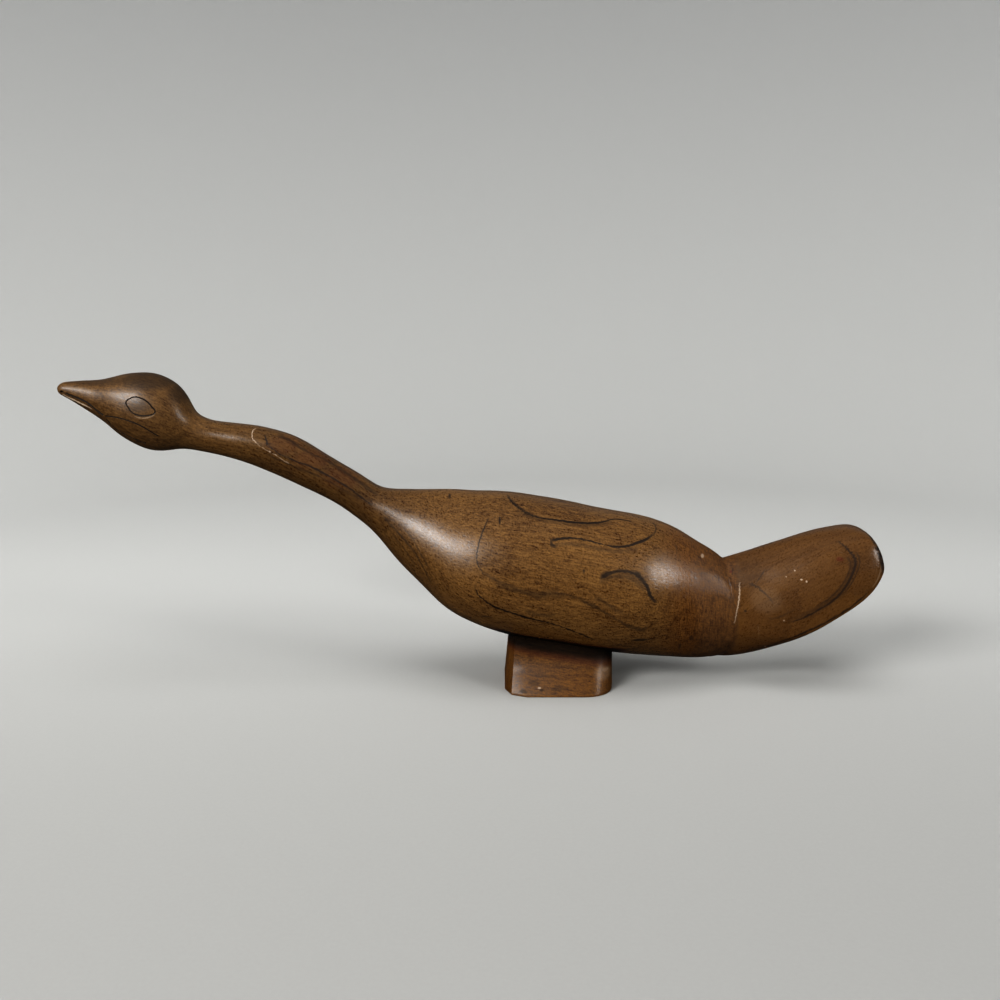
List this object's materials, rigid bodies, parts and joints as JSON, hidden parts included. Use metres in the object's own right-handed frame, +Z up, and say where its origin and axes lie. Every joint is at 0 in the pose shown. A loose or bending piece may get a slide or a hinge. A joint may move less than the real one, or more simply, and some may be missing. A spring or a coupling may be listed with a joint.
{
  "type": "goose figurine",
  "caption": "Carved wooden goose with a long outstretched neck, a pointed beak and an upswept lobed tail, standing on a small block foot.",
  "frame": {"origin": "middle of the foot's sole, on the surface that the goose stands on", "axes": "+Z up; the beak points along -X and the tail along +X; Y runs across the body, and the goose is the same on both sides of the XZ plane"},
  "size_m": [0.2953, 0.0482, 0.1153],
  "materials": {
    "carved_wood": "oiled and rubbed to a satin gloss, mid to dark brown, with dark figured grain lines"
  },
  "bodies": {
    "root": {"goose": "carved_wood"}
  },
  "joints": []
}
